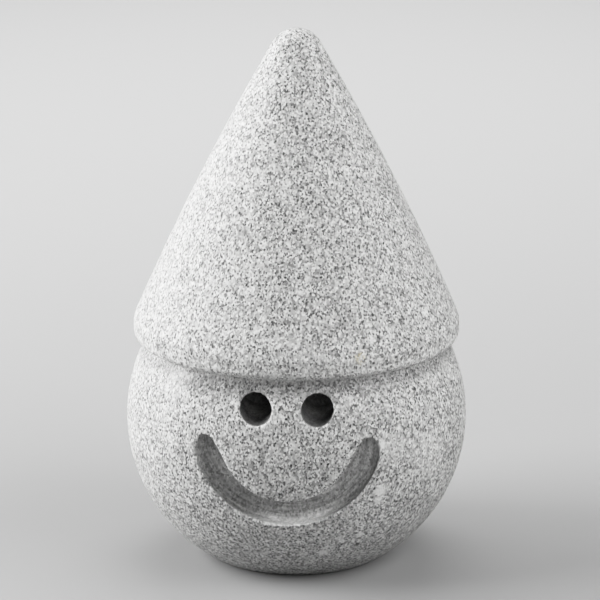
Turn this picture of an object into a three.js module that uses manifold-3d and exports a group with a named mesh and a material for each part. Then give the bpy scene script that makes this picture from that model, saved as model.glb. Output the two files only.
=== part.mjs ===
// Soapstone elf figure: a round head under a tall cone hat, turned from one stone,
// with two drilled eyes and a smile cut as one curved groove.
//
// Millimetres and degrees. +Z is up, the face looks along -Y, and the origin is the middle of the
// flat underside.

import * as THREE from 'three';
import { mergeVertices } from 'three/addons/utils/BufferGeometryUtils.js';
import Module from 'manifold-3d';

// Head: a ball that is turned a little flatter than round, as its outline's centre stands off the
// axis, and cut flat below, with a rounded edge to the flat
const HEAD_DIAMETER = 70;
const HEAD_CENTRE_OFF_AXIS = 1.3;
const UNDERSIDE_DIAMETER = 34.6;
const UNDERSIDE_EDGE_RADIUS = 3;

// Hat: its flat underside meets the head in a sharp crease, an upright band runs round its brim
// between two roundings, and its height is from the crease to the tip
const CREASE_ABOVE_HEAD_CENTRE = 16.69;
const BRIM_OVERHANG = 2.84;
const BRIM_EDGE_RADIUS = 1.75;
const BRIM_BAND_HEIGHT = 1.75;
const BRIM_SHOULDER_RADIUS = 3;
const HAT_HEIGHT = 64.25;
const HAT_SIDE_RADIUS = 545;
const HAT_TIP_RADIUS = 5.6;

// Eyes: two level holes with a drill's cone at the bottom
const EYE_DIAMETER = 6.2;
const EYE_SPACING = 12.2;
const EYE_ABOVE_HEAD_CENTRE = 10.74;
const EYE_DEPTH = 14;
const DRILL_POINT_ANGLE = 118;

// Mouth: a slot along an arc, milled level into the face down to a flat floor with rounded corners;
// it narrows at both ends, and its depth is at the middle of the chin
const MOUTH_ARC_RADIUS = 16.4;
const MOUTH_ARC_CENTRE_ABOVE_HEAD_CENTRE = 5.64;
const MOUTH_HALF_SWEEP = 86.5;
const MOUTH_END_SWEEP = 22;
const MOUTH_WIDTH = 5.34;
const MOUTH_DEPTH = 4.9;
const MOUTH_CORNER_RADIUS = 1;

// Fineness of the faceted surfaces, and how far an arc of the turned outline may stand off its chords
const TURNED_SEGMENTS = 96;
const EYE_SEGMENTS = 32;
const MOUTH_STATIONS = 40;
const MOUTH_CORNER_STEPS = 4;
const CHORD_ERROR = 0.03;

// Cutters reach this far in front of the stone, and the mouth's stops this angle short of a point
const CUTTER_CLEARANCE = 3;
const MOUTH_BLUNT_END = 0.4;

// Sizes worked out from the ones above
const headRadius = HEAD_DIAMETER / 2;
const headArcRadius = headRadius - HEAD_CENTRE_OFF_AXIS;
const flatRadius = UNDERSIDE_DIAMETER / 2;
const headCentreHeight = UNDERSIDE_EDGE_RADIUS + Math.sqrt(
    (headArcRadius - UNDERSIDE_EDGE_RADIUS) ** 2 - (flatRadius - HEAD_CENTRE_OFF_AXIS) ** 2,
);
const creaseHeight = headCentreHeight + CREASE_ABOVE_HEAD_CENTRE;
const creaseRadius = headReach(creaseHeight);
const brimRadius = creaseRadius + BRIM_OVERHANG;
const cutterFront = -headRadius - CUTTER_CLEARANCE;

// Arcs and outlines, in the half plane of radius (x) and height (y)

function arcPoints(centre, radius, startAngle, endAngle) {
    const facet = 2 * Math.acos(1 - CHORD_ERROR / radius);
    const steps = Math.ceil(Math.abs(endAngle - startAngle) / facet);
    const points = [];
    for (let i = 0; i <= steps; i++) {
        const angle = THREE.MathUtils.lerp(startAngle, endAngle, i / steps);
        points.push(new THREE.Vector2(
            centre.x + radius * Math.cos(angle),
            centre.y + radius * Math.sin(angle),
        ));
    }
    return points;
}

// The centre of the large circle that two small circles touch from inside, on the axis side of both
function enclosingCentre(radius, lower, lowerRadius, upper, upperRadius) {
    const along = new THREE.Vector2().subVectors(upper, lower);
    const apart = along.length();
    along.normalize();
    const toLower = radius - lowerRadius;
    const toUpper = radius - upperRadius;
    const foot = (toLower ** 2 - toUpper ** 2 + apart ** 2) / (2 * apart);
    const inward = new THREE.Vector2(-along.y, along.x);
    return lower.clone()
        .addScaledVector(along, foot)
        .addScaledVector(inward, Math.sqrt(toLower ** 2 - foot ** 2));
}

function angleFrom(centre, point) {
    return Math.atan2(point.y - centre.y, point.x - centre.x);
}

// The turned outline, from the middle of the underside up to the tip of the hat
function turnedOutline() {
    const headCentre = new THREE.Vector2(HEAD_CENTRE_OFF_AXIS, headCentreHeight);
    const footCentre = new THREE.Vector2(flatRadius, UNDERSIDE_EDGE_RADIUS);
    const footEnd = angleFrom(headCentre, footCentre);
    const crease = new THREE.Vector2(creaseRadius, creaseHeight);

    const edgeCentre = new THREE.Vector2(
        brimRadius - BRIM_EDGE_RADIUS,
        creaseHeight + BRIM_EDGE_RADIUS,
    );
    const shoulderCentre = new THREE.Vector2(
        brimRadius - BRIM_SHOULDER_RADIUS,
        edgeCentre.y + BRIM_BAND_HEIGHT,
    );
    const tipCentre = new THREE.Vector2(0, creaseHeight + HAT_HEIGHT - HAT_TIP_RADIUS);
    const sideCentre = enclosingCentre(
        HAT_SIDE_RADIUS, shoulderCentre, BRIM_SHOULDER_RADIUS, tipCentre, HAT_TIP_RADIUS,
    );
    const sideStart = angleFrom(sideCentre, shoulderCentre);
    const sideEnd = angleFrom(sideCentre, tipCentre);

    return [
        new THREE.Vector2(0, 0),
        ...arcPoints(footCentre, UNDERSIDE_EDGE_RADIUS, -Math.PI / 2, footEnd),
        ...arcPoints(headCentre, headArcRadius, footEnd, angleFrom(headCentre, crease)).slice(1),
        ...arcPoints(edgeCentre, BRIM_EDGE_RADIUS, -Math.PI / 2, 0),
        ...arcPoints(shoulderCentre, BRIM_SHOULDER_RADIUS, 0, sideStart),
        ...arcPoints(sideCentre, HAT_SIDE_RADIUS, sideStart, sideEnd).slice(1),
        ...arcPoints(tipCentre, HAT_TIP_RADIUS, sideEnd, Math.PI / 2).slice(1, -1),
        new THREE.Vector2(0, creaseHeight + HAT_HEIGHT),
    ];
}

function turnedStone() {
    return new THREE.LatheGeometry(turnedOutline(), TURNED_SEGMENTS).rotateX(Math.PI / 2);
}

// How far the head's surface is from the axis at a height
function headReach(z) {
    return HEAD_CENTRE_OFF_AXIS + Math.sqrt(headArcRadius ** 2 - (z - headCentreHeight) ** 2);
}

// How far the head's surface is from the vertical plane through its axis, at a place on the face
function faceDepth(x, z) {
    return Math.sqrt(headReach(z) ** 2 - x ** 2);
}

function eyeCutter(side) {
    const x = side * EYE_SPACING / 2;
    const z = headCentreHeight + EYE_ABOVE_HEAD_CENTRE;
    const radius = EYE_DIAMETER / 2;
    const bottom = EYE_DEPTH - faceDepth(x, z);
    const pointLength = radius / Math.tan(THREE.MathUtils.degToRad(DRILL_POINT_ANGLE / 2));
    const outline = [
        new THREE.Vector2(0, cutterFront),
        new THREE.Vector2(radius, cutterFront),
        new THREE.Vector2(radius, bottom),
        new THREE.Vector2(0, bottom + pointLength),
    ];
    return new THREE.LatheGeometry(outline, EYE_SEGMENTS).translate(x, 0, z);
}

// Half the mouth's width at an angle from the chin: it closes along a quarter of an ellipse
function mouthHalfWidth(angle) {
    const past = THREE.MathUtils.radToDeg(Math.abs(angle)) - MOUTH_HALF_SWEEP + MOUTH_END_SWEEP;
    const share = Math.max(past / MOUTH_END_SWEEP, 0);
    return MOUTH_WIDTH / 2 * Math.sqrt(1 - share ** 2);
}

// One section across the mouth at an angle from the chin: a flat floor with two rounded corners,
// closed by two points in front of the stone
function mouthSection(angle) {
    const centreHeight = headCentreHeight + MOUTH_ARC_CENTRE_ABOVE_HEAD_CENTRE;
    const floor = MOUTH_DEPTH - faceDepth(0, centreHeight - MOUTH_ARC_RADIUS);
    const halfWidth = mouthHalfWidth(angle);
    const corner = Math.min(MOUTH_CORNER_RADIUS, halfWidth / 2);
    const point = (offset, y) => new THREE.Vector3(
        (MOUTH_ARC_RADIUS + offset) * Math.sin(angle),
        y,
        centreHeight - (MOUTH_ARC_RADIUS + offset) * Math.cos(angle),
    );
    const points = [];
    for (const side of [-1, 1]) {
        for (let i = 0; i <= MOUTH_CORNER_STEPS; i++) {
            const turn = (i / MOUTH_CORNER_STEPS + (side - 1) / 2) * Math.PI / 2;
            const offset = side * (halfWidth - corner) + corner * Math.sin(turn);
            points.push(point(offset, floor - corner * (1 - Math.cos(turn))));
        }
    }
    points.push(point(halfWidth, cutterFront), point(-halfWidth, cutterFront));
    return points;
}

// A closed skin over a row of sections with the same number of points, capped at both ends
function loft(sections) {
    const around = sections[0].length;
    const last = (sections.length - 1) * around;
    const indices = [];
    for (let s = 0; s + 1 < sections.length; s++) {
        for (let i = 0; i < around; i++) {
            const a = s * around + i;
            const b = s * around + (i + 1) % around;
            indices.push(a, b + around, b, a, a + around, b + around);
        }
    }
    for (let i = 1; i + 1 < around; i++) {
        indices.push(0, i, i + 1);
        indices.push(last, last + i + 1, last + i);
    }
    const geometry = new THREE.BufferGeometry().setFromPoints(sections.flat());
    geometry.setIndex(indices);
    return geometry;
}

// The stations crowd together towards the mouth's ends, where it narrows fastest
function mouthCutter() {
    const reach = THREE.MathUtils.degToRad(MOUTH_HALF_SWEEP - MOUTH_BLUNT_END);
    const sections = [];
    for (let i = 0; i <= MOUTH_STATIONS; i++) {
        const turn = THREE.MathUtils.lerp(-Math.PI / 2, Math.PI / 2, i / MOUTH_STATIONS);
        sections.push(mouthSection(reach * Math.sin(turn)));
    }
    return loft(sections);
}

// Cutting

const wasm = await Module();
wasm.setup();

function toSolid(geometry) {
    const bare = geometry.clone();
    bare.deleteAttribute('normal');
    bare.deleteAttribute('uv');
    const merged = mergeVertices(bare);
    const corners = merged.index.array;
    const triangles = [];
    for (let i = 0; i < corners.length; i += 3) {
        const [a, b, c] = corners.slice(i, i + 3);
        if (a !== b && b !== c && c !== a) {
            triangles.push(a, b, c);
        }
    }
    return new wasm.Manifold(new wasm.Mesh({
        numProp: 3,
        vertProperties: new Float32Array(merged.attributes.position.array),
        triVerts: new Uint32Array(triangles),
    }));
}

function toGeometry(solid) {
    const mesh = solid.getMesh();
    const geometry = new THREE.BufferGeometry();
    geometry.setAttribute('position', new THREE.BufferAttribute(mesh.vertProperties, 3));
    geometry.setIndex(new THREE.BufferAttribute(mesh.triVerts, 1));
    geometry.computeVertexNormals();
    return geometry;
}

const cutters = [eyeCutter(-1), eyeCutter(1), mouthCutter()];
const carved = cutters.reduce(
    (stone, cutter) => stone.subtract(toSolid(cutter)),
    toSolid(turnedStone()),
);

const soapstone = new THREE.MeshStandardMaterial({ color: 0x9c9c9a, roughness: 0.6, metalness: 0 });

const elfFigure = new THREE.Mesh(toGeometry(carved), soapstone);
elfFigure.name = 'elf_figure';

const figure = new THREE.Group();
figure.name = 'soapstone_elf';
figure.add(elfFigure);

export default figure;
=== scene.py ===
"""A small soapstone elf: one turned stone with drilled eyes and a milled smile, in a pale studio."""

import logging
import math
from dataclasses import dataclass, field
from enum import Enum
from functools import cached_property

import bmesh
import bpy
from mathutils import Matrix, Vector, noise


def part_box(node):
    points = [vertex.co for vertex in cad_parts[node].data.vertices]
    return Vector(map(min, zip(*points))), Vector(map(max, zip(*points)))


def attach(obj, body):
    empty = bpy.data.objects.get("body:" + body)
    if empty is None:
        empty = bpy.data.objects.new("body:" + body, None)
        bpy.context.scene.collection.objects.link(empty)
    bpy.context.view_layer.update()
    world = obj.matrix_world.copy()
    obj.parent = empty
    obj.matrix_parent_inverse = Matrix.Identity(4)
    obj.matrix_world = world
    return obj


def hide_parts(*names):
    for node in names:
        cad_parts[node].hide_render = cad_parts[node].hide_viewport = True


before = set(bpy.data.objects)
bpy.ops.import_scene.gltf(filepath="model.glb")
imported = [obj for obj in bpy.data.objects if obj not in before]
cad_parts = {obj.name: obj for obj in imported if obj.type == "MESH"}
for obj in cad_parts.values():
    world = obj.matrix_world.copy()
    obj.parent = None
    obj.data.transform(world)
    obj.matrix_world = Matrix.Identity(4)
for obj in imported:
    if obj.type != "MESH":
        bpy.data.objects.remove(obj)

log = logging.getLogger("elf")

# A soft step's low and high end
Step = tuple[float, float]

# The stone is shaped in millimetres and set down in metres
MM = 0.001
NODE = "elf_figure"
SLOT = "soapstone"

# What the camera and the lights face, in metres
FIGURE_MIDDLE = Vector((0.0, 0.0, 0.056))
FLOOR_BEHIND = Vector((0.0, 0.5, 0.0))

# Turned points that are closer than this are one
MERGE_DISTANCE = 1e-5

# Where the view's curve mapping keeps the curve for all three colours
COMBINED_CURVE = 3


class Side(Enum):
    """The side of the face that an eye is on, as the sign of its place along X."""

    LEFT = -1
    RIGHT = 1


def smoothstep(low: float, high: float, value: float) -> float:
    """Turns a value into a soft step from 0 at low to 1 at high.

    Args:
        low: The value where the step starts.
        high: The value where the step ends.
        value: The value to place on the step.

    Returns:
        A number from 0 to 1.
    """
    share = min(max((value - low) / (high - low), 0.0), 1.0)
    return share * share * (3.0 - 2.0 * share)


def fade(low: float, high: float, value: float) -> float:
    """Turns a value into a soft step from 1 at low to 0 at high."""
    return 1.0 - smoothstep(low, high, value)


def unevenness(place: Vector, length: float) -> float:
    """Gives smooth noise from 0 to 1 with bumps of about this length."""
    return 0.5 + 0.5 * noise.noise(place / length)


def mesh_object(name: str, bm: bmesh.types.BMesh) -> bpy.types.Object:
    """Puts a bmesh into a new object of the scene and frees it.

    Args:
        name: The object's and the mesh's name.
        bm: The shape.

    Returns:
        The new object, at the origin.
    """
    mesh = bpy.data.meshes.new(name)
    bm.to_mesh(mesh)
    bm.free()
    obj = bpy.data.objects.new(name, mesh)
    bpy.context.scene.collection.objects.link(obj)
    return obj


def apply_modifiers(obj: bpy.types.Object) -> None:
    """Replaces an object's mesh by what its modifiers make of it, and clears them.

    Args:
        obj: The object, which keeps its name and place.
    """
    evaluated = obj.evaluated_get(bpy.context.evaluated_depsgraph_get())
    shaped = bpy.data.meshes.new_from_object(evaluated)
    old = obj.data
    obj.modifiers.clear()
    obj.data = shaped
    bpy.data.meshes.remove(old)


def arc_points(centre: Vector, radius: float, start: float, end: float, spacing: float) -> list[Vector]:
    """Lays points along an arc in the half plane of radius (x) and height (y).

    Args:
        centre: The arc's centre.
        radius: The arc's radius.
        start: The angle of the first point, in radians.
        end: The angle of the last point, in radians.
        spacing: The longest step between two points.

    Returns:
        The points, with both ends.
    """
    steps = max(2, math.ceil(abs(end - start) * radius / spacing))
    angles = [start + (end - start) * step / steps for step in range(steps + 1)]
    return [centre + radius * Vector((math.cos(angle), math.sin(angle))) for angle in angles]


def angle_from(centre: Vector, point: Vector) -> float:
    """Gives the direction from one point to another as an angle in radians."""
    return math.atan2(point.y - centre.y, point.x - centre.x)


def turned(outline: list[Vector], steps: int) -> bmesh.types.BMesh:
    """Turns an outline once round the Z axis into a closed skin.

    Args:
        outline: Points of radius (x) and height (y), from the axis back to the axis.
        steps: The number of steps round the axis.

    Returns:
        The closed shape, with its faces pointing out.
    """
    bm = bmesh.new()
    verts = [bm.verts.new((point.x, 0.0, point.y)) for point in outline]
    edges = [bm.edges.new(pair) for pair in zip(verts, verts[1:])]
    bmesh.ops.spin(
        bm,
        geom=verts + edges,
        cent=(0.0, 0.0, 0.0),
        axis=(0.0, 0.0, 1.0),
        angle=2.0 * math.pi,
        steps=steps,
        use_merge=True,
    )
    bmesh.ops.remove_doubles(bm, verts=bm.verts, dist=MERGE_DISTANCE)
    bmesh.ops.recalc_face_normals(bm, faces=bm.faces)
    return bm


@dataclass(frozen=True)
class TurnedOutline:
    """The outline that the lathe follows: a flattened ball cut flat below, under a tall rounded cone."""

    head_radius: float
    height: float
    head_centre_off_axis: float = 1.3
    underside_radius: float = 17.3
    underside_edge_radius: float = 3.0
    crease_above_head_centre: float = 16.69
    brim_overhang: float = 2.84
    brim_edge_radius: float = 1.75
    brim_band_height: float = 1.75
    brim_shoulder_radius: float = 3.0
    hat_side_radius: float = 545.0
    hat_tip_radius: float = 5.6
    spacing: float = 0.5
    turned_steps: int = 288

    @property
    def head_arc_radius(self) -> float:
        """The radius of the head's arc in the outline."""
        return self.head_radius - self.head_centre_off_axis

    @property
    def head_centre_height(self) -> float:
        """Works out how high the centre of the head's arc is above the underside.

        Returns:
            The height, in millimetres.
        """
        reach = self.head_arc_radius - self.underside_edge_radius
        across = self.underside_radius - self.head_centre_off_axis
        return self.underside_edge_radius + math.sqrt(reach**2 - across**2)

    @property
    def crease(self) -> Vector:
        """The radius and height where the hat's brim meets the head."""
        height = self.head_centre_height + self.crease_above_head_centre
        return Vector((self.head_reach(height), height))

    def head_reach(self, height: float) -> float:
        """Gives how far the head's surface is from the axis at a height."""
        rise = height - self.head_centre_height
        return self.head_centre_off_axis + math.sqrt(self.head_arc_radius**2 - rise**2)

    def face_depth(self, x: float, z: float) -> float:
        """Gives how far the face stands in front of the plane through the axis at a place on it."""
        return math.sqrt(self.head_reach(z) ** 2 - x**2)

    def below_head(self, place: Vector) -> float:
        """Gives how deep a place is below the head's surface."""
        out = math.hypot(place.x, place.y) - self.head_centre_off_axis
        return self.head_arc_radius - math.hypot(out, place.z - self.head_centre_height)

    def side_centre(self, shoulder: Vector, tip: Vector) -> Vector:
        """Finds the centre of the hat's long side arc, which wraps the shoulder's and the tip's arcs.

        Args:
            shoulder: The centre of the rounding between the brim's band and the hat's side.
            tip: The centre of the tip's rounding.

        Returns:
            The centre of the side's arc, on the axis side of the hat.
        """
        along = tip - shoulder
        apart = along.length
        along.normalize()
        to_shoulder = self.hat_side_radius - self.brim_shoulder_radius
        to_tip = self.hat_side_radius - self.hat_tip_radius
        foot = (to_shoulder**2 - to_tip**2 + apart**2) / (2.0 * apart)
        inward = Vector((-along.y, along.x))
        return shoulder + foot * along + math.sqrt(to_shoulder**2 - foot**2) * inward

    def points(self) -> list[Vector]:
        """Lays out the whole outline.

        Returns:
            Points of radius (x) and height (y), from the middle of the underside to the hat's tip.
        """
        head = Vector((self.head_centre_off_axis, self.head_centre_height))
        foot = Vector((self.underside_radius, self.underside_edge_radius))
        foot_end = angle_from(head, foot)
        edge = self.crease + Vector((self.brim_overhang - self.brim_edge_radius, self.brim_edge_radius))
        shoulder = edge + Vector((self.brim_edge_radius - self.brim_shoulder_radius, self.brim_band_height))
        tip = Vector((0.0, self.height - self.hat_tip_radius))
        side = self.side_centre(shoulder, tip)
        side_start = angle_from(side, shoulder)
        side_end = angle_from(side, tip)
        arcs = [
            (foot, self.underside_edge_radius, -math.pi / 2.0, foot_end),
            (head, self.head_arc_radius, foot_end, angle_from(head, self.crease)),
            (edge, self.brim_edge_radius, -math.pi / 2.0, 0.0),
            (shoulder, self.brim_shoulder_radius, 0.0, side_start),
            (side, self.hat_side_radius, side_start, side_end),
            (tip, self.hat_tip_radius, side_end, math.pi / 2.0),
        ]
        outline = [Vector((0.0, 0.0))]
        for arc in arcs:
            outline += arc_points(*arc, spacing=self.spacing)
        outline[-1].x = 0.0
        return outline

    def build(self) -> bmesh.types.BMesh:
        """Turns the stone before its face is cut."""
        return turned(self.points(), self.turned_steps)


@dataclass(frozen=True)
class EyeDrill:
    """A level hole drilled into the face for one eye."""

    outline: TurnedOutline
    side: Side
    radius: float = 3.1
    spacing: float = 12.2
    above_head_centre: float = 10.74
    depth: float = 14.0
    point_angle: float = 118.0
    overshoot: float = 3.0
    steps: int = 96

    @property
    def centre(self) -> Vector:
        """The place of the hole's axis in the plane of X and Z."""
        height = self.outline.head_centre_height + self.above_head_centre
        return Vector((self.side.value * self.spacing / 2.0, 0.0, height))

    def from_axis(self, place: Vector) -> float:
        """Gives a place's distance from the hole's axis."""
        return math.hypot(place.x - self.centre.x, place.z - self.centre.z)

    def cutter(self) -> bpy.types.Object:
        """Makes the drill as a closed solid.

        Returns:
            The cutter, in the place where it stands in the stone.
        """
        face = self.outline.face_depth(self.centre.x, self.centre.z)
        front = self.outline.head_radius + self.overshoot
        bottom = face - self.depth
        point = self.radius / math.tan(math.radians(self.point_angle) / 2.0)
        profile = [(0.0, bottom - point), (self.radius, bottom), (self.radius, front), (0.0, front)]
        bm = turned([Vector(corner) for corner in profile], self.steps)
        bmesh.ops.rotate(bm, verts=bm.verts, matrix=Matrix.Rotation(math.pi / 2.0, 3, "X"))
        bmesh.ops.translate(bm, verts=bm.verts, vec=self.centre)
        return mesh_object(f"eye_drill_{self.side.name.lower()}", bm)


@dataclass(frozen=True)
class MouthSlot:
    """A slot along an arc, milled level into the face to a flat floor, that narrows at both ends."""

    outline: TurnedOutline
    arc_radius: float = 16.4
    centre_above_head_centre: float = 5.64
    half_sweep: float = math.radians(86.5)
    end_sweep: float = math.radians(22.0)
    blunt_end: float = math.radians(0.4)
    half_width: float = 2.67
    depth: float = 4.9
    corner_radius: float = 1.0
    overshoot: float = 3.0
    corner_steps: int = 8
    stations: int = 178

    @property
    def centre(self) -> Vector:
        """The centre of the smile's arc, in the plane of X and Z."""
        height = self.outline.head_centre_height + self.centre_above_head_centre
        return Vector((0.0, 0.0, height))

    @property
    def floor(self) -> float:
        """The place of the flat floor along Y."""
        return self.depth - self.outline.face_depth(0.0, self.centre.z - self.arc_radius)

    def angle(self, place: Vector) -> float:
        """Gives a place's angle round the smile's arc, from 0 at the chin."""
        return math.atan2(place.x, self.centre.z - place.z)

    def offset(self, place: Vector) -> float:
        """Gives how far outside the slot's centre line a place is."""
        return math.hypot(place.x, place.z - self.centre.z) - self.arc_radius

    def half_width_at(self, angle: float) -> float:
        """Gives half the slot's width at an angle from the chin, which closes along an ellipse."""
        past = (abs(angle) - self.half_sweep) / self.end_sweep + 1.0
        return self.half_width * math.sqrt(1.0 - min(max(past, 0.0), 1.0) ** 2)

    def section(self) -> list[Vector]:
        """Lays out the slot's section at the chin, from the floor's upper edge round to the front.

        Returns:
            Points in the plane of Y and Z.
        """
        flat = self.half_width - self.corner_radius
        middle = self.centre.z - self.arc_radius
        points = []
        for side in (-1, 1):
            for step in range(self.corner_steps + 1):
                turn = (step / self.corner_steps + (side - 1) / 2.0) * math.pi / 2.0
                offset = side * flat + self.corner_radius * math.sin(turn)
                rise = self.corner_radius * (1.0 - math.cos(turn))
                points.append(Vector((0.0, self.floor - rise, middle - offset)))
        front = -self.outline.head_radius - self.overshoot
        return points + [Vector((0.0, front, points[-1].z)), Vector((0.0, front, points[0].z))]

    def cutter(self) -> bpy.types.Object:
        """Sweeps the section along the arc and narrows it towards both ends.

        Returns:
            The cutter, in the place where it stands in the stone.
        """
        bm = bmesh.new()
        loop = [bm.verts.new(point) for point in self.section()]
        edges = [bm.edges.new(pair) for pair in zip(loop, loop[1:] + loop[:1])]
        reach = self.half_sweep - self.blunt_end
        to_start = Matrix.Rotation(-reach, 3, "Y")
        bmesh.ops.rotate(bm, verts=bm.verts, cent=self.centre, matrix=to_start)
        bmesh.ops.spin(
            bm,
            geom=loop + edges,
            cent=self.centre,
            axis=(0.0, 1.0, 0.0),
            angle=2.0 * reach,
            steps=self.stations,
        )
        bmesh.ops.holes_fill(bm, edges=bm.edges, sides=0)
        for vert in bm.verts:
            vert.co += self.narrowing(vert.co)
        bmesh.ops.recalc_face_normals(bm, faces=bm.faces)
        return mesh_object("mouth_mill", bm)

    def narrowing(self, place: Vector) -> Vector:
        """Gives how far a point of the swept section moves towards the slot's centre line.

        Args:
            place: The point, at the slot's full width.

        Returns:
            The way that it moves.
        """
        share = self.half_width_at(self.angle(place)) / self.half_width
        out = Vector((place.x, 0.0, place.z - self.centre.z)).normalized()
        return out * self.offset(place) * (share - 1.0)


@dataclass(frozen=True)
class FaceCuts:
    """The eyes and the mouth together, and how a place on the stone stands to them."""

    outline: TurnedOutline
    eyes: tuple[EyeDrill, ...]
    mouth: MouthSlot
    brim_margin: float = 0.5
    pocket_step: Step = (0.15, 0.6)
    rim_step: Step = (0.1, 0.42)

    def on_face(self, place: Vector) -> bool:
        """Tells whether a place is on the front of the head, between the underside and the brim."""
        low = self.outline.underside_edge_radius
        return place.y < 0.0 and low < place.z < self.outline.crease.y - self.brim_margin

    def depth(self, place: Vector) -> float:
        """Gives how deep a place is below the face, or 0 away from the face."""
        return self.outline.below_head(place) if self.on_face(place) else 0.0

    def pocket(self, place: Vector) -> float:
        """Gives 1 inside the eyes and the mouth and 0 outside, with a soft change at the rims."""
        return smoothstep(*self.pocket_step, self.depth(place))

    def from_eyes(self, place: Vector) -> float:
        """Gives how far outside the nearer eye's wall a place is."""
        return min(eye.from_axis(place) - eye.radius for eye in self.eyes)

    def from_mouth(self, place: Vector) -> float:
        """Gives how far outside the mouth's outer wall a place is."""
        return self.mouth.offset(place) - self.mouth.half_width_at(self.mouth.angle(place))

    def along_mouth(self, place: Vector) -> bool:
        """Tells whether a place is beside the mouth, and not past its ends."""
        return abs(self.mouth.angle(place)) < self.mouth.half_sweep

    def rim(self, place: Vector) -> float:
        """Gives how close a place is to a rim of the eyes or the mouth.

        Args:
            place: A point of the stone, in millimetres.

        Returns:
            A number that is 1 on a rim and 0 away from it.
        """
        if not self.on_face(place):
            return 0.0
        across = [abs(eye.from_axis(place) - eye.radius) for eye in self.eyes]
        if self.along_mouth(place):
            half_width = self.mouth.half_width_at(self.mouth.angle(place))
            across.append(abs(abs(self.mouth.offset(place)) - half_width))
        return fade(*self.rim_step, math.hypot(min(across), self.depth(place)))


@dataclass(frozen=True)
class WearAndPaintedShading:
    """Pale wear and painted light and shade: rims and brim partly worn and partly painted lighter, painted
    light in the crease, on the mouth's lower wall and deep in the eyes, painted shade on the eyes' walls
    and a painted shadow under the brim.
    """

    cuts: FaceCuts
    # How strong each mark is at its most
    # The rims of the eyes and the mouth are partly worn pale and partly a painted highlight
    rim_wear_and_highlight: float = 0.65
    lip_highlight_strength: float = 0.85
    # The brim's band and lower rounding are partly worn pale and partly painted lighter
    brim_wear_and_light: float = 0.45
    # Painted light in the crease under the brim
    crease_light: float = 0.75
    # How far each mark reaches, in millimetres from the crease, the rim or the face
    crease_light_step: Step = (0.2, 1.4)
    brim_step: Step = (1.4, 3.5)
    # Where the painted light deep in the eyes begins and is full
    deep_hole_light_step: Step = (5.5, 10.0)
    lip_highlight_step: Step = (0.2, 0.7)
    # Where the painted shade on the eyes' walls starts and ends, in millimetres below the face
    eye_shade_start: Step = (0.2, 1.0)
    eye_shade_end: Step = (4.0, 9.0)
    hole_step: Step = (0.1, 0.5)
    # Where round the smile the painted highlight on the mouth's lower wall lies
    lip_highlight_middle: float = math.radians(6.0)
    lip_highlight_sweep: Step = (math.radians(10.0), math.radians(38.0))
    # Painted shadow on the head under the brim, which hangs lower and darker round one azimuth
    brim_shadow_start: Step = (0.4, 1.4)
    brim_shadow_reach: float = 4.2
    lean_azimuth: float = math.radians(-26.0)
    lean_sweep: Step = (math.radians(8.0), math.radians(26.0))
    lean_reach: float = 1.4
    lean_shade: float = 0.25

    def lip_highlight(self, place: Vector) -> float:
        """Gives the painted highlight on the mouth's lower wall, which faces up into the light.

        Args:
            place: A point of the stone, in millimetres.

        Returns:
            The painted highlight, highest near the chin.
        """
        along = abs(self.cuts.mouth.angle(place) - self.lip_highlight_middle)
        # Painted highlight on the lower wall, which faces up
        wall = fade(*self.lip_highlight_step, -self.cuts.from_mouth(place)) * self.cuts.pocket(place)
        return self.lip_highlight_strength * wall * fade(*self.lip_highlight_sweep, along)

    def pale_wear_and_light(self, place: Vector) -> float:
        """Gives how pale a place is worn, or painted lighter where it would catch more light.

        Args:
            place: A point of the stone, in millimetres.

        Returns:
            The pale wear and painted light, from 0 on untouched stone to 1 where it is palest.
        """
        rise = place.z - self.cuts.outline.crease.y
        # Painted light: the crease, which lies in the brim's shade, is painted paler
        crease_lift = self.crease_light * fade(*self.crease_light_step, abs(rise))
        if rise >= 0.0:
            # The brim's band and lower rounding: partly worn pale, partly painted lighter
            return max(crease_lift, self.brim_wear_and_light * fade(*self.brim_step, rise))
        # Painted light deep in the eyes' holes, where little light reaches
        drilled = smoothstep(*self.deep_hole_light_step, self.cuts.depth(place))
        # The rims: partly worn pale, partly a painted highlight on the arris
        return max(crease_lift, drilled, self.rim_wear_and_highlight * self.cuts.rim(place), self.lip_highlight(place))

    def eye_wall_shade(self, place: Vector) -> float:
        """Gives the painted shade on the eyes' drilled walls near their rims.

        Args:
            place: A point of the stone, in millimetres.

        Returns:
            A number that is 1 just inside an eye's rim and 0 deep in the hole and outside the eyes.
        """
        depth = self.cuts.depth(place)
        walls_shaded = smoothstep(*self.eye_shade_start, depth) * fade(*self.eye_shade_end, depth)
        return walls_shaded * fade(*self.hole_step, self.cuts.from_eyes(place))

    def brim_shadow(self, place: Vector) -> float:
        """Gives the painted shadow on the head just under the brim.

        Args:
            place: A point of the stone, in millimetres.

        Returns:
            The painted shadow, from 0 to 1, which hangs lowest at the left of the face.
        """
        below = self.cuts.outline.crease.y - place.z
        lean = fade(*self.lean_sweep, abs(math.atan2(place.x, -place.y) - self.lean_azimuth))
        reach = self.brim_shadow_reach + self.lean_reach * lean
        ring = smoothstep(*self.brim_shadow_start, below) * fade(0.5 * reach, reach, below)
        return ring * (1.0 - self.lean_shade * (1.0 - lean))


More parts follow.
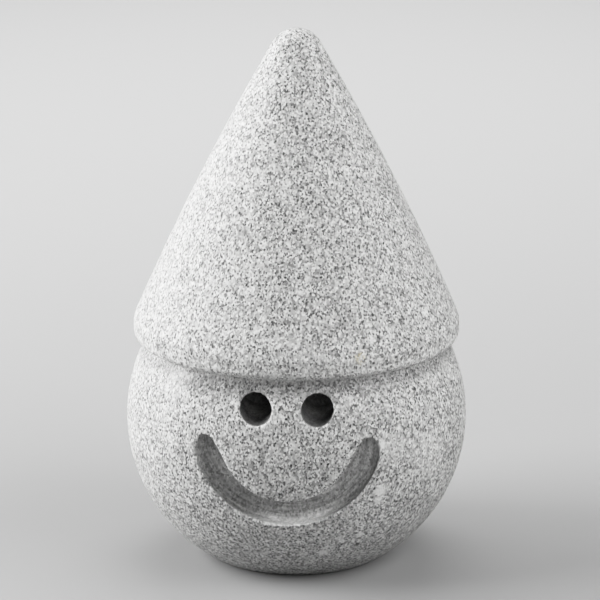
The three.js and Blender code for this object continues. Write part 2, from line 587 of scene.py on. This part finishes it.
@dataclass(frozen=True)
class Relief:
    """The fine unevenness of the honed and milled stone: waves, dents, pits, tool marks and chips."""

    cuts: FaceCuts
    # How deep each kind is, and how long, in millimetres
    wave: float = 0.05
    wave_length: float = 7.0
    dent: float = 0.05
    dent_length: float = 2.4
    grain: float = 0.03
    grain_length: float = 0.9
    pit: float = 0.06
    pit_length: float = 1.2
    mark: float = 0.14
    mark_length: float = 0.55
    chip: float = 0.32
    chip_length: float = 1.1
    # How rare the pits are, and how much of the grain and the pits the mill took off in the cuts
    pit_step: Step = (0.42, 0.62)
    milled_off: float = 0.7
    # How much the mill's marks change along a radian of the smile, next to their change across it
    mark_drift: float = 1.5
    # How far from the rim the chips reach, how rare they are, and the share of their finer noise
    chip_reach: float = 0.75
    chip_step: Step = (-0.1, 0.6)
    chip_finer: float = 0.4
    chip_finer_share: float = 0.5

    def tool_marks(self, place: Vector) -> float:
        """Gives the ridges that the mill left along the mouth.

        Args:
            place: A point of the true form, in millimetres.

        Returns:
            The depth of the marks there.
        """
        mouth = self.cuts.mouth
        below = self.cuts.outline.below_head(place)
        drawn = Vector((mouth.offset(place), mouth.angle(place) * self.mark_drift, below))
        return self.mark * unevenness(drawn, self.mark_length)

    def chips(self, place: Vector) -> float:
        """Gives the small breaks along the mouth's outer rim.

        Args:
            place: A point of the true form, in millimetres.

        Returns:
            The depth of the break there, or 0.
        """
        if not (self.cuts.on_face(place) and self.cuts.along_mouth(place)):
            return 0.0
        away = math.hypot(self.cuts.from_mouth(place), self.cuts.outline.below_head(place))
        coarse = noise.noise(place / self.chip_length)
        fine = noise.noise(place / (self.chip_finer * self.chip_length))
        broken = smoothstep(*self.chip_step, coarse + self.chip_finer_share * fine)
        return self.chip * fade(0.0, self.chip_reach, away) * broken

    def depth(self, place: Vector) -> float:
        """Gives how far the finished surface lies inside the true form at a place.

        Args:
            place: A point of the true form, in millimetres.

        Returns:
            The depth in millimetres, never negative, so that the stone stays inside its box.
        """
        waves = self.wave * unevenness(place, self.wave_length)
        dents = self.dent * unevenness(place, self.dent_length)
        grain = self.grain * unevenness(place, self.grain_length)
        pits = self.pit * smoothstep(*self.pit_step, noise.noise(place / self.pit_length))
        pocket = self.cuts.pocket(place)
        marks = self.tool_marks(place) * pocket
        fine = (grain + pits) * (1.0 - self.milled_off * pocket)
        return waves + dents + fine + marks + self.chips(place)


class Channel:
    """A node socket that Python's operators turn into Math nodes."""

    def __init__(self, shader: "Shader", socket: bpy.types.NodeSocket) -> None:
        """Wraps a socket of a shader's tree."""
        self.shader = shader
        self.socket = socket

    def math(self, operation: str, *values: "Channel | float") -> "Channel":
        """Adds a Math node on these values and gives its result."""
        inputs = dict(enumerate(values))
        return self.shader.node("ShaderNodeMath", {"operation": operation}, inputs)

    def __add__(self, other: "Channel | float") -> "Channel":
        """Adds two values."""
        return self.math("ADD", self, other)

    __radd__ = __add__

    def __sub__(self, other: "Channel | float") -> "Channel":
        """Subtracts a value from this one."""
        return self.math("SUBTRACT", self, other)

    def __rsub__(self, other: float) -> "Channel":
        """Subtracts this value from a number."""
        return self.math("SUBTRACT", other, self)

    def __mul__(self, other: "Channel | float") -> "Channel":
        """Multiplies two values."""
        return self.math("MULTIPLY", self, other)

    __rmul__ = __mul__

    def twin(self, output: str) -> "Channel":
        """Gives another output of the node that this value comes from."""
        return Channel(self.shader, self.socket.node.outputs[output])

    def soft_step(self, low: float, high: float) -> "Channel":
        """Gives a soft step from 0 at low to 1 at high, or from 1 to 0 where low is the higher.

        Args:
            low: The value that gives 0.
            high: The value that gives 1.

        Returns:
            The step.
        """
        settings = {"interpolation_type": "SMOOTHSTEP"}
        if low < high:
            return self.shader.node("ShaderNodeMapRange", settings, {0: self, 1: low, 2: high})
        return 1.0 - self.shader.node("ShaderNodeMapRange", settings, {0: self, 1: high, 2: low})


class Shader:
    """A material's node tree, built one node at a time."""

    def __init__(self, name: str) -> None:
        """Starts an empty material.

        Args:
            name: The material's name.
        """
        self.material = bpy.data.materials.new(name)
        self.material.use_nodes = True
        self.tree = self.material.node_tree
        self.tree.nodes.clear()

    def node(
        self,
        kind: str,
        settings: dict[str, object] | None = None,
        inputs: dict[str | int, object] | None = None,
        output: str | int = 0,
    ) -> Channel | None:
        """Adds a node.

        Args:
            kind: The node's type.
            settings: Its settings, set before its sockets; stops are a ramp's places and colours.
            inputs: A value or a link for each socket that isn't left as it is.
            output: The socket that the result is read from.

        Returns:
            The node's output, or None for the node that ends the tree.
        """
        made = self.tree.nodes.new(kind)
        for name, value in (settings or {}).items():
            if name == "stops":
                self.set_stops(made.color_ramp, value)
            else:
                setattr(made, name, value)
        for key, value in (inputs or {}).items():
            if isinstance(value, Channel):
                self.tree.links.new(value.socket, made.inputs[key])
            else:
                made.inputs[key].default_value = value
        return Channel(self, made.outputs[output]) if made.outputs else None

    @staticmethod
    def set_stops(ramp: bpy.types.ColorRamp, stops: tuple[tuple[float, float], ...]) -> None:
        """Puts grey stops on a ramp.

        Args:
            ramp: The ramp, as it comes with its node.
            stops: Each stop's place and brightness, from the lowest place up.
        """
        ramp.elements.remove(ramp.elements[1])
        for place, grey in stops:
            element = ramp.elements.new(place)
            element.color = (grey, grey, grey, 1.0)
        ramp.elements.remove(ramp.elements[0])

    @cached_property
    def place(self) -> Channel:
        """The object's own coordinates in millimetres."""
        metres = self.node("ShaderNodeTexCoord", output="Object")
        return self.node("ShaderNodeVectorMath", {"operation": "SCALE"}, {0: metres, "Scale": 1.0 / MM})

    def noise(self, place: Channel, scale: float, detail: float) -> Channel:
        """Gives noise from 0 to 1, with so many waves to the millimetre."""
        inputs = {"Vector": place, "Scale": scale, "Detail": detail}
        return self.node("ShaderNodeTexNoise", inputs=inputs, output="Fac")

    def swing(self, place: Channel, scale: float, detail: float) -> Channel:
        """Gives noise that swings about 0, with so many waves to the millimetre."""
        return self.noise(place, scale, detail) - 0.5

    def attribute(self, name: str) -> Channel:
        """Reads a number that the mesh carries on its vertices."""
        return self.node("ShaderNodeAttribute", {"attribute_name": name}, output="Fac")

    def mix(self, factor: Channel, low: tuple | Channel, high: tuple | Channel) -> Channel:
        """Mixes two colours."""
        return self.node("ShaderNodeMix", {"data_type": "RGBA"}, {0: factor, 6: low, 7: high}, output=2)


@dataclass(frozen=True)
class Patch:
    """A place on the stone where it differs from the rest, and how far that reaches, in millimetres."""

    place: tuple[float, float, float]
    reach: float


@dataclass(frozen=True)
class Soapstone:
    """Honed grey soapstone: small crystals of every grey, dark flecks, pale talc and some ochre."""

    mouth: MouthSlot
    # The darkest and the palest grey, and the stain's colour
    deep: tuple[float, float, float, float] = (0.008, 0.008, 0.008, 1.0)
    pale: tuple[float, float, float, float] = (0.66, 0.66, 0.653, 1.0)
    ochre: tuple[float, float, float, float] = (0.46, 0.4, 0.24, 1.0)
    roughness: float = 0.62
    # The crystals, how flat the bed pressed them, and the share of them up to each grey
    crystal_scale: float = 3.0
    bed_stretch: float = 0.73
    crystal_greys: tuple[tuple[float, float], ...] = (
        (0.06, 0.01), (0.21, 0.24), (0.4, 0.47), (0.6, 0.67), (0.8, 0.91), (0.95, 1.0),
    )
    # The changes of tone over about 1 mm and 5 mm
    mottle_scale: float = 1.0
    mottle: float = 0.62
    cloud_scale: float = 0.22
    cloud: float = 0.38
    # The dark flecks, in the middles of some larger crystals
    fleck_scale: float = 1.85
    fleck_chance: float = 0.5
    fleck_blur: float = 0.06
    fleck_reach: float = 0.42
    fleck_depth: float = 0.75
    # The roughness that a fingertip feels
    grit_scale: float = 1.0
    grit_depth: float = 0.14
    fleck_pit: float = 0.5
    # The mill's streaks in the mouth, and how far it evened out the crystals and the flecks
    streak_width: float = 0.45
    streak_length: float = 6.0
    streak: float = 1.8
    calm: float = 0.45
    calm_tone: float = 0.55
    fleck_calm: float = 0.7
    # How much painted shade darkens the cuts (partly the milled stone's own darker tone), the eyes' walls
    # near their rims and the head under the brim
    pocket_shade: float = 0.2
    eye_wall_shade_strength: float = 0.7
    brim_shadow_strength: float = 0.5
    # How the pale wear and the painted light lighten the stone, and how they cover its pattern
    pale_lift: float = 0.3
    pale_cover: float = 0.36
    pale_tone: float = 0.9
    # The patches of talc, dense and thin, and their ragged edges
    talc: tuple[Patch, ...] = (
        Patch((18.7, -28.7, 22.2), 1.7),
        Patch((18.2, -28.4, 20.2), 1.1),
        Patch((18.6, -29.5, 32.0), 1.5),
        Patch((14.4, -26.7, 12.1), 1.2),
        Patch((7.0, -26.6, 8.0), 1.2),
    )
    bloom: tuple[Patch, ...] = (
        Patch((27.8, -21.1, 27.5), 7.0),
        Patch((21.0, -27.2, 31.0), 5.0),
        Patch((31.1, -8.6, 42.3), 3.0),
        Patch((-23.0, -22.8, 42.4), 4.5),
    )
    talc_cover: float = 0.75
    bloom_cover: float = 0.22
    edge_scale: float = 1.1
    edge_swing: float = 1.2
    edge_step: Step = (1.0, 0.45)
    # The ochre grains over the brim
    stain: Patch = Patch((14.6, -30.0, 50.2), 1.6)
    stain_scale: float = 2.4
    stain_step: Step = (0.4, 0.62)
    stain_cover: float = 0.5

    def dress(self, obj: bpy.types.Object) -> None:
        """Gives an object the stone's material.

        Args:
            obj: The finished piece, with its pale wear and painted light, pocket, painted shade on the
                eyes' walls and painted shadow under the brim on its vertices.
        """
        shader = Shader(SLOT)
        bed = self.bedded(shader)
        flecks = self.flecks(shader, bed)
        tone = self.lightened(shader, self.talced(shader, self.tone(shader, bed, flecks)))
        inputs = {
            "Base Color": self.colour(shader, tone),
            "Roughness": self.roughness,
            "Normal": self.grit(shader, bed, flecks),
        }
        surface = shader.node("ShaderNodeBsdfPrincipled", inputs=inputs)
        shader.node("ShaderNodeOutputMaterial", inputs={"Surface": surface})
        obj.data.materials.append(shader.material)

    def bedded(self, shader: Shader) -> Channel:
        """Gives coordinates that are stretched upright, as the stone's bed lies."""
        stretch = (1.0, 1.0, self.bed_stretch)
        return shader.node("ShaderNodeVectorMath", {"operation": "MULTIPLY"}, {0: shader.place, 1: stretch})

    def crystals(self, shader: Shader, bed: Channel, scale: float, output: str) -> Channel:
        """Gives the distance to the middle of the crystal at a place, or that crystal's own colour."""
        return shader.node("ShaderNodeTexVoronoi", inputs={"Vector": bed, "Scale": scale}, output=output)

    def flecks(self, shader: Shader, bed: Channel) -> Channel:
        """Gives the dark flecks: the middles of a few of the larger crystals.

        Args:
            shader: The stone's material.
            bed: The coordinates along the stone's bed.

        Returns:
            A mask that is 1 in a fleck.
        """
        middle = self.crystals(shader, bed, self.fleck_scale, "Distance")
        chance = middle.twin("Color") * 1.0
        chosen = chance.soft_step(self.fleck_chance + self.fleck_blur, self.fleck_chance - self.fleck_blur)
        return chosen * middle.soft_step(self.fleck_reach, 0.5 * self.fleck_reach)

    def tone(self, shader: Shader, bed: Channel, flecks: Channel) -> Channel:
        """Works out the brightness of the clean stone, milled in its cuts, with painted shade in the cuts,
        on the eyes' walls and under the brim.

        Args:
            shader: The stone's material.
            bed: The coordinates along the stone's bed.
            flecks: The mask of the dark flecks.

        Returns:
            The brightness, from 0 at the darkest fleck to about 1 at the palest crystal.
        """
        crystal = self.crystals(shader, bed, self.crystal_scale, "Color")
        ground = shader.node("ShaderNodeValToRGB", {"stops": self.crystal_greys}, {"Fac": crystal})
        mottle = shader.swing(bed, self.mottle_scale, detail=1.0) * self.mottle
        clouds = shader.swing(shader.place, self.cloud_scale, detail=2.0) * self.cloud
        pocket = shader.attribute("pocket")
        evened = ground + (self.calm_tone - ground) * pocket * self.calm
        milled = evened * (1.0 + self.streaks(shader) * pocket * self.streak)
        flecked = 1.0 - flecks * (1.0 - pocket * self.fleck_calm) * self.fleck_depth
        # Painted shade in the cuts, partly the milled stone's own darker tone
        shade = 1.0 - pocket * self.pocket_shade
        # Painted shade on the eyes' walls near their rims
        eye_wall_shade = 1.0 - shader.attribute("eye_wall_shade") * self.eye_wall_shade_strength
        # Painted shadow of the brim on the head below it
        brim_shadow = 1.0 - shader.attribute("brim_shadow") * self.brim_shadow_strength
        return milled * (1.0 + mottle + clouds) * flecked * shade * eye_wall_shade * brim_shadow

    def talced(self, shader: Shader, tone: Channel) -> Channel:
        """Lays the talc over a tone.

        Args:
            shader: The stone's material.
            tone: The stone's brightness.

        Returns:
            The brightness with the dense and the thin patches.
        """
        dense = self.near(shader, *self.talc) * self.talc_cover
        thin = self.near(shader, *self.bloom) * self.bloom_cover
        return tone + (1.0 - tone) * (dense + thin)

    def lightened(self, shader: Shader, tone: Channel) -> Channel:
        """Gives a tone as it is where the stone is worn pale or painted lighter."""
        # The pale wear and the painted light lighten the stone alike
        pale_wear_and_light = shader.attribute("pale_wear_and_light")
        return tone * (1.0 + pale_wear_and_light * self.pale_lift) + (self.pale_tone - tone) * pale_wear_and_light * self.pale_cover

    def colour(self, shader: Shader, tone: Channel) -> Channel:
        """Turns the brightness into a colour and adds the ochre grains.

        Args:
            shader: The stone's material.
            tone: The stone's brightness.

        Returns:
            The colour.
        """
        grey = shader.mix(tone, self.deep, self.pale)
        grains = shader.noise(shader.place, self.stain_scale, detail=1.0).soft_step(*self.stain_step)
        cover = self.near(shader, self.stain) * grains * self.stain_cover
        return shader.mix(cover, grey, self.ochre)

    def grit(self, shader: Shader, bed: Channel, flecks: Channel) -> Channel:
        """Gives the surface's fine roughness, with the flecks a little sunk.

        Args:
            shader: The stone's material.
            bed: The coordinates along the stone's bed.
            flecks: The mask of the dark flecks.

        Returns:
            The normal.
        """
        height = shader.noise(bed, self.grit_scale, detail=1.5) - flecks * self.fleck_pit
        inputs = {"Strength": 1.0, "Distance": self.grit_depth * MM, "Height": height}
        return shader.node("ShaderNodeBump", inputs=inputs)

    def streaks(self, shader: Shader) -> Channel:
        """Gives the long light and dark streaks that the mill drew round the smile's arc.

        Args:
            shader: The stone's material.

        Returns:
            A value about 0, above it in a light streak and below it in a dark one.
        """
        across = shader.node("ShaderNodeSeparateXYZ", inputs={"Vector": shader.place}, output="X")
        below = self.mouth.centre.z - across.twin("Z")
        angle = across.math("ARCTAN2", across, below)
        radius = across.math("SQRT", across * across + below * below)
        parts = {
            "X": radius * (1.0 / self.streak_width),
            "Y": angle * (self.mouth.arc_radius / self.streak_length),
            "Z": across.twin("Y") * (1.0 / self.streak_width),
        }
        drawn = shader.node("ShaderNodeCombineXYZ", inputs=parts)
        return shader.swing(drawn, 1.0, detail=2.0)

    def near(self, shader: Shader, *patches: Patch) -> Channel:
        """Gives the mask of some patches, each with a ragged edge.

        Args:
            shader: The stone's material.
            patches: The patches that the mask covers.

        Returns:
            A mask that is 1 in the middle of each patch.
        """
        ragged = shader.swing(shader.place, self.edge_scale, detail=2.0) * self.edge_swing
        mask = 0.0
        for patch in patches:
            ends = {0: shader.place, 1: patch.place}
            away = shader.node("ShaderNodeVectorMath", {"operation": "DISTANCE"}, ends, "Value")
            mask = mask + (away * (1.0 / patch.reach) + ragged).soft_step(*self.edge_step)
        return mask


@dataclass
class ElfFigure:
    """The figure: the turned stone, its two drilled eyes and its milled smile, as one piece."""

    outline: TurnedOutline
    voxel: float = 0.34
    soften: float = 0.5
    soften_rounds: int = 2
    triangle_limit: int = 190_000
    cuts: FaceCuts = field(init=False)
    relief: Relief = field(init=False)
    wear_and_shading: WearAndPaintedShading = field(init=False)
    finish: Soapstone = field(init=False)

    def __post_init__(self) -> None:
        """Places the cuts on the outline, and the relief, the wear and painted light and shade, and the
        stone's pattern round them.
        """
        eyes = tuple(EyeDrill(self.outline, side) for side in Side)
        self.cuts = FaceCuts(self.outline, eyes, MouthSlot(self.outline))
        self.relief = Relief(self.cuts)
        self.wear_and_shading = WearAndPaintedShading(self.cuts)
        self.finish = Soapstone(self.cuts.mouth)

    def build(self) -> bpy.types.Object:
        """Makes the finished figure.

        Returns:
            The piece, in metres, riding on the frame in the solid's place.
        """
        stone = mesh_object("stone", self.outline.build())
        self.cut(stone)
        self.weather(stone)
        self.thin(stone)
        self.mark_vertices(stone)
        stone.data.transform(Matrix.Scale(MM, 4))
        stone.data.shade_smooth()
        self.finish.dress(stone)
        stone.name = "turned_elf"
        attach(stone, "root")
        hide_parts(NODE)
        return stone

    def cut(self, stone: bpy.types.Object) -> None:
        """Cuts the eyes and the mouth, and lays an even fine mesh over the result.

        Args:
            stone: The turned stone.
        """
        cutters = [cut.cutter() for cut in (*self.cuts.eyes, self.cuts.mouth)]
        for cutter in cutters:
            boolean = stone.modifiers.new(cutter.name, "BOOLEAN")
            boolean.operation = "DIFFERENCE"
            boolean.solver = "EXACT"
            boolean.object = cutter
        remesh = stone.modifiers.new("even_mesh", "REMESH")
        remesh.mode = "VOXEL"
        remesh.voxel_size = self.voxel
        apply_modifiers(stone)
        for cutter in cutters:
            bpy.data.meshes.remove(cutter.data)

    def weather(self, stone: bpy.types.Object) -> None:
        """Rounds the cuts' rims slightly and sinks the surface by its relief.

        Args:
            stone: The cut stone.
        """
        bm = bmesh.new()
        bm.from_mesh(stone.data)
        rims = [vert for vert in bm.verts if self.cuts.rim(vert.co) > 0.0]
        for _ in range(self.soften_rounds):
            bmesh.ops.smooth_vert(
                bm, verts=rims, factor=self.soften, use_axis_x=True, use_axis_y=True, use_axis_z=True,
            )
        bm.normal_update()
        sunk = [vert.co - vert.normal * self.relief.depth(vert.co) for vert in bm.verts]
        for vert, place in zip(bm.verts, sunk):
            vert.co = place
        bm.to_mesh(stone.data)
        bm.free()

    def thin(self, stone: bpy.types.Object) -> None:
        """Brings the mesh under its limit of triangles, where the surface is plainest.

        Args:
            stone: The weathered stone.
        """
        triangles = sum(len(face.vertices) - 2 for face in stone.data.polygons)
        decimate = stone.modifiers.new("thin", "DECIMATE")
        decimate.ratio = min(1.0, self.triangle_limit / triangles)
        apply_modifiers(stone)

    def mark_vertices(self, stone: bpy.types.Object) -> None:
        """Writes on each vertex its pale wear and painted light, its painted shade and shadow, and whether
        it is in a cut.

        Args:
            stone: The stone at its final shape, in millimetres.
        """
        places = [vert.co for vert in stone.data.vertices]
        readings = {
            # Pale wear together with painted light
            "pale_wear_and_light": self.wear_and_shading.pale_wear_and_light,
            "pocket": self.cuts.pocket,
            # Painted shade on the eyes' walls
            "eye_wall_shade": self.wear_and_shading.eye_wall_shade,
            # Painted shadow under the brim
            "brim_shadow": self.wear_and_shading.brim_shadow,
        }
        for name, read in readings.items():
            layer = stone.data.attributes.new(name, "FLOAT", "POINT")
            layer.data.foreach_set("value", [read(place) for place in places])


@dataclass(frozen=True)
class FilmResponse:
    """A camera's own answer to light: even up to a knee, then bending over softly towards white."""

    knee: float = 0.4
    white: float = 3.0
    steps: int = 8
    crowding: float = 1.5

    def respond(self, light: float) -> float:
        """Gives the picture's brightness for a brightness in the scene.

        Args:
            light: The brightness in the scene.

        Returns:
            The brightness in the picture, from 0 to 1.
        """
        if light <= self.knee:
            return light
        room = 1.0 - self.knee
        return self.knee + room * (1.0 - math.exp((self.knee - light) / room))

    def load(self) -> None:
        """Sets the scene's view to this answer."""
        view = bpy.context.scene.view_settings
        view.view_transform = "Standard"
        view.use_curve_mapping = True
        view.curve_mapping.clip_max_x = self.white
        curve = view.curve_mapping.curves[COMBINED_CURVE]
        curve.points[1].location = (self.white, self.respond(self.white))
        curve.points.new(self.knee / 2.0, self.knee / 2.0)
        for step in range(self.steps):
            light = self.knee + (self.white - self.knee) * (step / self.steps) ** self.crowding
            curve.points.new(light, self.respond(light))
        view.curve_mapping.update()


def direction(azimuth: float, elevation: float) -> Vector:
    """Gives the way towards a light or a camera.

    Args:
        azimuth: The angle from the face's own direction, towards the figure's right, in degrees.
        elevation: The angle above the floor, in degrees.

    Returns:
        A vector of length 1, away from the figure.
    """
    level = math.cos(math.radians(elevation))
    turn = math.radians(azimuth)
    return Vector((math.sin(turn) * level, -math.cos(turn) * level, math.sin(math.radians(elevation))))


def stand(name: str, data: bpy.types.ID, place: Vector, away: Vector) -> bpy.types.Object:
    """Puts a light or a camera into the scene, looking back along a direction.

    Args:
        name: The object's name.
        data: The light or the camera.
        place: Where it stands, in metres.
        away: The direction that its back points in.

    Returns:
        The new object.
    """
    obj = bpy.data.objects.new(name, data)
    obj.location = place
    obj.rotation_mode = "QUATERNION"
    obj.rotation_quaternion = away.to_track_quat("Z", "Y")
    bpy.context.scene.collection.objects.link(obj)
    return obj


@dataclass(frozen=True)
class Softbox:
    """A square area light that faces the middle of the figure, or another point."""

    name: str
    azimuth: float
    elevation: float
    power: float
    side: float = 0.5
    distance: float = 0.7
    spread: float = 180.0
    aim: Vector = FIGURE_MIDDLE

    def build(self) -> None:
        """Hangs the light."""
        data = bpy.data.lights.new(self.name, "AREA")
        data.energy = self.power
        data.size = self.side
        data.spread = math.radians(self.spread)
        away = direction(self.azimuth, self.elevation)
        stand(self.name, data, self.aim + away * self.distance, away)


@dataclass(frozen=True)
class Studio:
    """A pale floor, soft lights, and the camera where the picture was taken from."""

    aim: Vector = FIGURE_MIDDLE
    camera_distance: float = 0.8
    camera_azimuth: float = 3.54
    camera_elevation: float = 16.0
    sensor: float = 36.0
    frame_pixels: float = 600.0
    pixels_per_metre: float = 4889.0
    aim_pixel: tuple[float, float] = (296.5, 287.06)
    floor_side: float = 6.0
    floor_shade: float = 0.25
    floor_roughness: float = 0.8
    world_shade: float = 0.02
    lights: tuple[Softbox, ...] = (
        Softbox("left_softbox", -82.0, 28.0, 9.4),
        Softbox("back_left_softbox", -116.5, 8.0, 6.6),
        Softbox("front_softbox", 28.0, 32.0, 1.5),
        Softbox("front_right_softbox", 63.5, 38.0, 3.7),
        Softbox("right_softbox", 93.5, 30.0, 2.1),
        Softbox("top_softbox", 3.5, 89.0, 0.6),
        Softbox("floor_softbox", 0.0, 90.0, 3.4, distance=0.6, spread=100.0, aim=FLOOR_BEHIND),
    )

    def build(self) -> None:
        """Sets up the floor, the lights, the world and the camera."""
        self.build_floor()
        for light in self.lights:
            light.build()
        self.build_world()
        self.build_camera()
        FilmResponse().load()

    def build_floor(self) -> None:
        """Lays the floor under the figure."""
        bm = bmesh.new()
        bmesh.ops.create_grid(bm, x_segments=1, y_segments=1, size=self.floor_side / 2.0)
        floor = mesh_object("floor", bm)
        shader = Shader("studio_floor")
        shade = (self.floor_shade, self.floor_shade, self.floor_shade, 1.0)
        inputs = {"Base Color": shade, "Roughness": self.floor_roughness}
        surface = shader.node("ShaderNodeBsdfPrincipled", inputs=inputs)
        shader.node("ShaderNodeOutputMaterial", inputs={"Surface": surface})
        floor.data.materials.append(shader.material)

    def build_world(self) -> None:
        """Fills the room with a faint even light."""
        world = bpy.data.worlds.new("studio")
        world.use_nodes = True
        background = world.node_tree.nodes["Background"]
        background.inputs["Color"].default_value = (1.0, 1.0, 1.0, 1.0)
        background.inputs["Strength"].default_value = self.world_shade
        bpy.context.scene.world = world

    def build_camera(self) -> None:
        """Stands the camera at the picture's own angle, distance and framing."""
        data = bpy.data.cameras.new("camera")
        data.sensor_width = self.sensor
        data.lens = self.pixels_per_metre * self.camera_distance * self.sensor / self.frame_pixels
        middle = self.frame_pixels / 2.0
        data.shift_x = (middle - self.aim_pixel[0]) / self.frame_pixels
        data.shift_y = (self.aim_pixel[1] - middle) / self.frame_pixels
        away = direction(self.camera_azimuth, self.camera_elevation)
        place = self.aim + away * self.camera_distance
        bpy.context.scene.camera = stand("camera", data, place, away)


def solid_outline() -> TurnedOutline:
    """Reads the head's radius and the figure's height from the solid's box.

    Returns:
        The outline, in millimetres.
    """
    low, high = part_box(NODE)
    return TurnedOutline(head_radius=(high.x - low.x) / 2.0 / MM, height=(high.z - low.z) / MM)


def main() -> None:
    """Builds the studio and the figure."""
    logging.basicConfig(level=logging.INFO, format="%(name)s: %(message)s")
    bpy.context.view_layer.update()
    Studio().build()
    figure = ElfFigure(solid_outline()).build()
    log.info("%s: %d triangles", figure.name, sum(len(face.vertices) - 2 for face in figure.data.polygons))


if __name__ == "__main__":
    main()
